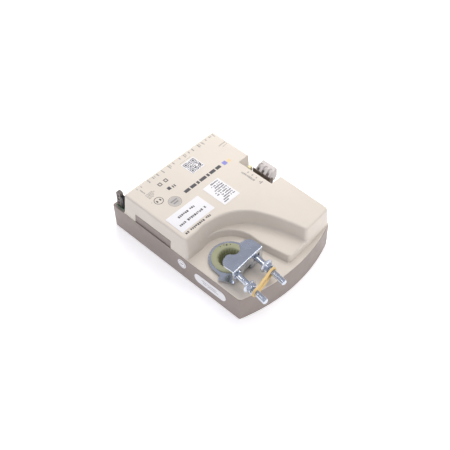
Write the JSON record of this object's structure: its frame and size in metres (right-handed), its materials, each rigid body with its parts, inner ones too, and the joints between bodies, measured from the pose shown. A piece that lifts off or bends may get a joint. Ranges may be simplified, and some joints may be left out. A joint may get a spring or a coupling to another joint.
{
  "type": "motorised damper actuator head",
  "caption": "Motorised actuator head with a geared hub, U-bolt shaft clamp, moulded two-part housing, controller board and pull-off screw terminals.",
  "frame": {"origin": "on the hub axis at the back (mounting) face of the housing", "axes": "+Z out of the front along the hub axis, +X along the long side towards the clamp end, +Y across the housing; the damper shaft enters and leaves at -Z"},
  "size_m": [0.1676, 0.1119, 0.0462],
  "materials": {
    "base_plastic": "fine spark-eroded texture, grey-brown",
    "cover_plastic": "smooth moulded, cream white",
    "screw_steel": "zinc-plated",
    "zinc_steel": "bright zinc plate over pressed steel",
    "hub_metal": "olive-green passivated",
    "gear_plastic": "natural acetal",
    "gear_steel": "sintered steel",
    "brass": "machined",
    "motor_can": "deep-drawn can",
    "magnet": "bonded ferrite on steel shaft",
    "board_green": "solder mask over glass fibre",
    "chip_black": "moulded epoxy",
    "capacitor": "sleeved can",
    "header_black": "moulded nylon",
    "plug_grey": "moulded nylon",
    "pin_tin": "tinned",
    "rubber_band": "natural rubber, tan",
    "label_paper": "matt film",
    "light_pipe": "clear yellowish polycarbonate"
  },
  "bodies": {
    "housing": {"base_shell": "base_plastic", "top_cover": "cover_plastic", "cover_screws": "screw_steel", "gear_plate": "screw_steel", "gear_plate_screws": "screw_steel", "gear_axles": "gear_steel", "motor_body": "motor_can", "main_circuit_board": "board_green", "board_screws": "screw_steel", "board_chips": "chip_black", "board_capacitors": "capacitor", "board_triacs": "chip_black", "status_light_pipe": "light_pipe", "terminal_headers": "header_black", "terminal_pins": "pin_tin", "network_header": "header_black", "network_pins": "pin_tin", "service_shell": "header_black", "service_socket": "plug_grey", "port_cover_label": "label_paper", "spec_label": "label_paper", "code_label": "label_paper", "round_sticker": "label_paper", "oblong_sticker": "label_paper"},
    "output": {"output_hub": "hub_metal", "output_gear": "gear_steel", "clamp_yoke": "zinc_steel"},
    "clamp_bolt": {"u_bolt": "zinc_steel", "retaining_band": "rubber_band"},
    "nut_left": {"flange_nut_left": "zinc_steel"},
    "nut_right": {"flange_nut_right": "zinc_steel"},
    "stage_2": {"gear_stage_2": "gear_steel"},
    "stage_1": {"gear_stage_1": "gear_plastic"},
    "rotor": {"motor_rotor": "magnet", "motor_pinion": "brass"},
    "plug_a": {"terminal_plug_a": "plug_grey", "terminal_screws_a": "screw_steel"},
    "plug_b": {"terminal_plug_b": "plug_grey", "terminal_screws_b": "screw_steel"},
    "plug_c": {"terminal_plug_c": "plug_grey", "terminal_screws_c": "screw_steel"},
    "plug_network": {"network_plug": "plug_grey", "network_screws": "screw_steel"}
  },
  "joints": [
    {"name": "hub_rotation", "type": "hinge", "parent": "housing", "child": "output", "pos_m": [0, 0, 0], "axis": [0, 0, 1], "range_deg": [-90, 5]},
    {"name": "u_bolt_slide", "type": "slide", "parent": "output", "child": "clamp_bolt", "axis": [0.9914, -0.1305, 0], "range_m": [-0.022, 0], "deforming": ["retaining_band"]},
    {"name": "nut_left_run", "type": "slide", "parent": "clamp_bolt", "child": "nut_left", "axis": [0.9914, -0.1305, 0], "range_m": [0, 0.009]},
    {"name": "nut_right_run", "type": "slide", "parent": "clamp_bolt", "child": "nut_right", "axis": [0.9914, -0.1305, 0], "range_m": [0, 0.015]},
    {"name": "stage_2_spin", "type": "hinge", "parent": "housing", "child": "stage_2", "pos_m": [0, 0.036, 0], "axis": [0, 0, 1], "range_deg": [-26, 451]},
    {"name": "stage_1_spin", "type": "hinge", "parent": "housing", "child": "stage_1", "pos_m": [-0.01905, 0.047, 0], "axis": [0, 0, 1], "range_deg": [-2026, 113]},
    {"name": "rotor_spin", "type": "hinge", "parent": "housing", "child": "rotor", "pos_m": [-0.0354, 0.05295, 0], "axis": [0, 0, 1], "range_deg": [-541, 9721]},
    {"name": "plug_a_pull", "type": "slide", "parent": "housing", "child": "plug_a", "axis": [0, 0, 1], "range_m": [0, 0.012]},
    {"name": "plug_b_pull", "type": "slide", "parent": "housing", "child": "plug_b", "axis": [0, 0, 1], "range_m": [0, 0.012]},
    {"name": "plug_c_pull", "type": "slide", "parent": "housing", "child": "plug_c", "axis": [0, 0, 1], "range_m": [0, 0.012]},
    {"name": "plug_network_pull", "type": "slide", "parent": "housing", "child": "plug_network", "axis": [0, 0, 1], "range_m": [0, 0.012]}
  ],
  "couplings": [
    {"joint": "nut_left_run", "follows": "u_bolt_slide", "ratio": -0.405},
    {"joint": "nut_right_run", "follows": "u_bolt_slide", "ratio": -0.677},
    {"joint": "stage_2_spin", "follows": "hub_rotation", "ratio": -5},
    {"joint": "stage_1_spin", "follows": "hub_rotation", "ratio": 22.5},
    {"joint": "rotor_spin", "follows": "hub_rotation", "ratio": -108}
  ]
}
